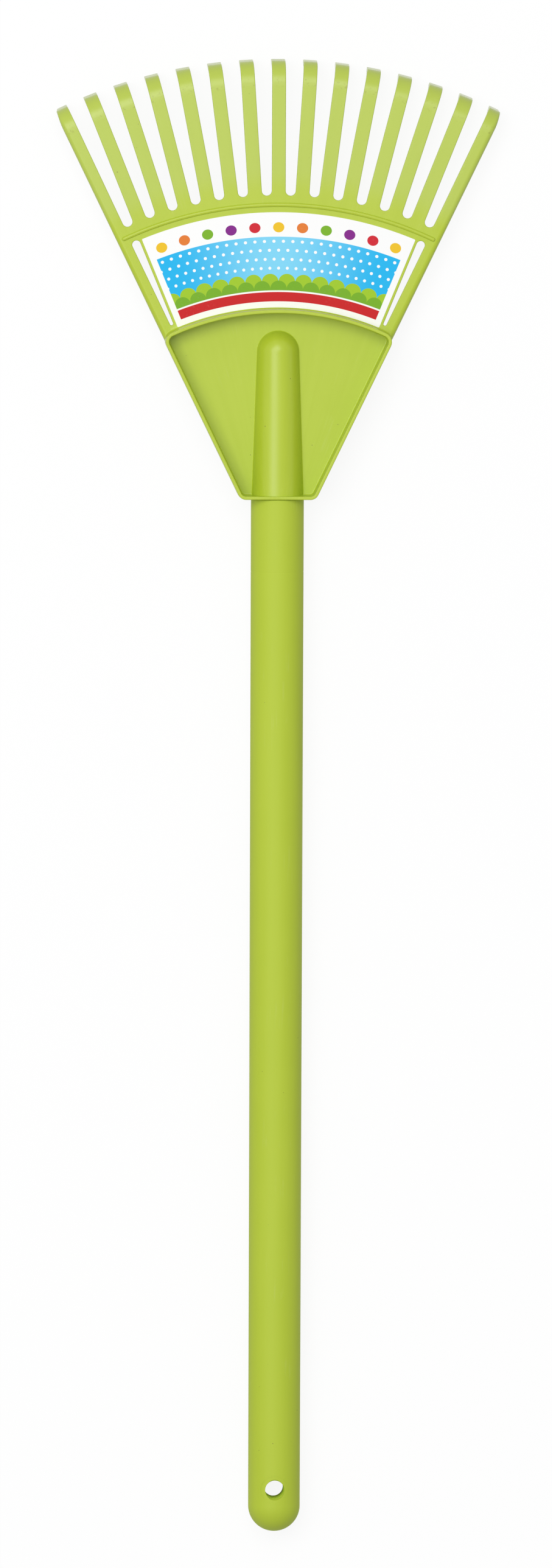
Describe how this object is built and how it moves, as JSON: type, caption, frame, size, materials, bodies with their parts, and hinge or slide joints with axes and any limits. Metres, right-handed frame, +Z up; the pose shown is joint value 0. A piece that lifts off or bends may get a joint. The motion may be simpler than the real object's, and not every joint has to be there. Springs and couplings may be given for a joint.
{
  "type": "fan rake",
  "caption": "Child's fan rake: moulded head with hooked spring tines and a dished socket, a label, and a hollow round handle with a hanging hole.",
  "frame": {"origin": "on the ground, at the middle of the rake's length and width", "axes": "+Y from the handle's end to the tines, +Z up out of the labelled face, +X to the right of the tines"},
  "size_m": [0.2172, 0.7246, 0.027],
  "materials": {
    "head_plastic": "satin lime-green moulded plastic",
    "handle_plastic": "satin lime-green moulded plastic",
    "label_film": "printed white film",
    "screw_steel": "zinc plated"
  },
  "bodies": {
    "rake": {"rake_head": "head_plastic", "handle": "handle_plastic", "label": "label_film", "fixing_screw": "screw_steel"},
    "tine_1": {"tine_1": "head_plastic"},
    "tine_2": {"tine_2": "head_plastic"},
    "tine_3": {"tine_3": "head_plastic"},
    "tine_4": {"tine_4": "head_plastic"},
    "tine_5": {"tine_5": "head_plastic"},
    "tine_6": {"tine_6": "head_plastic"},
    "tine_7": {"tine_7": "head_plastic"},
    "tine_8": {"tine_8": "head_plastic"},
    "tine_9": {"tine_9": "head_plastic"},
    "tine_10": {"tine_10": "head_plastic"},
    "tine_11": {"tine_11": "head_plastic"},
    "tine_12": {"tine_12": "head_plastic"},
    "tine_13": {"tine_13": "head_plastic"},
    "tine_14": {"tine_14": "head_plastic"},
    "tine_15": {"tine_15": "head_plastic"}
  },
  "joints": [
    {"name": "tine_1_flex", "type": "hinge", "parent": "rake", "child": "tine_1", "pos_m": [-0.08024, 0.28166, 0.01675], "axis": [0.9033, 0.4291, 0], "range_deg": [-4, 8], "stiffness_Nm_per_rad": 1.2},
    {"name": "tine_2_flex", "type": "hinge", "parent": "rake", "child": "tine_2", "pos_m": [-0.06939, 0.2864, 0.01675], "axis": [0.9286, 0.371, 0], "range_deg": [-8, 15], "stiffness_Nm_per_rad": 0.5},
    {"name": "tine_3_flex", "type": "hinge", "parent": "rake", "child": "tine_3", "pos_m": [-0.05825, 0.29045, 0.01675], "axis": [0.9502, 0.3115, 0], "range_deg": [-8, 15], "stiffness_Nm_per_rad": 0.5},
    {"name": "tine_4_flex", "type": "hinge", "parent": "rake", "child": "tine_4", "pos_m": [-0.04688, 0.29378, 0.01675], "axis": [0.9681, 0.2507, 0], "range_deg": [-8, 15], "stiffness_Nm_per_rad": 0.5},
    {"name": "tine_5_flex", "type": "hinge", "parent": "rake", "child": "tine_5", "pos_m": [-0.03533, 0.29638, 0.01675], "axis": [0.982, 0.1889, 0], "range_deg": [-8, 15], "stiffness_Nm_per_rad": 0.5},
    {"name": "tine_6_flex", "type": "hinge", "parent": "rake", "child": "tine_6", "pos_m": [-0.02363, 0.29825, 0.01675], "axis": [0.992, 0.1264, 0], "range_deg": [-8, 15], "stiffness_Nm_per_rad": 0.5},
    {"name": "tine_7_flex", "type": "hinge", "parent": "rake", "child": "tine_7", "pos_m": [-0.01184, 0.29938, 0.01675], "axis": [0.998, 0.0633, 0], "range_deg": [-8, 15], "stiffness_Nm_per_rad": 0.5},
    {"name": "tine_8_flex", "type": "hinge", "parent": "rake", "child": "tine_8", "pos_m": [0, 0.29975, 0.01675], "axis": [1, 0, 0], "range_deg": [-8, 15], "stiffness_Nm_per_rad": 0.5},
    {"name": "tine_9_flex", "type": "hinge", "parent": "rake", "child": "tine_9", "pos_m": [0.01184, 0.29938, 0.01675], "axis": [0.998, -0.0633, 0], "range_deg": [-8, 15], "stiffness_Nm_per_rad": 0.5},
    {"name": "tine_10_flex", "type": "hinge", "parent": "rake", "child": "tine_10", "pos_m": [0.02363, 0.29825, 0.01675], "axis": [0.992, -0.1264, 0], "range_deg": [-8, 15], "stiffness_Nm_per_rad": 0.5},
    {"name": "tine_11_flex", "type": "hinge", "parent": "rake", "child": "tine_11", "pos_m": [0.03533, 0.29638, 0.01675], "axis": [0.982, -0.1889, 0], "range_deg": [-8, 15], "stiffness_Nm_per_rad": 0.5},
    {"name": "tine_12_flex", "type": "hinge", "parent": "rake", "child": "tine_12", "pos_m": [0.04688, 0.29378, 0.01675], "axis": [0.9681, -0.2507, 0], "range_deg": [-8, 15], "stiffness_Nm_per_rad": 0.5},
    {"name": "tine_13_flex", "type": "hinge", "parent": "rake", "child": "tine_13", "pos_m": [0.05825, 0.29045, 0.01675], "axis": [0.9502, -0.3115, 0], "range_deg": [-8, 15], "stiffness_Nm_per_rad": 0.5},
    {"name": "tine_14_flex", "type": "hinge", "parent": "rake", "child": "tine_14", "pos_m": [0.06939, 0.2864, 0.01675], "axis": [0.9286, -0.371, 0], "range_deg": [-8, 15], "stiffness_Nm_per_rad": 0.5},
    {"name": "tine_15_flex", "type": "hinge", "parent": "rake", "child": "tine_15", "pos_m": [0.08024, 0.28166, 0.01675], "axis": [0.9033, -0.4291, 0], "range_deg": [-4, 8], "stiffness_Nm_per_rad": 1.2}
  ]
}
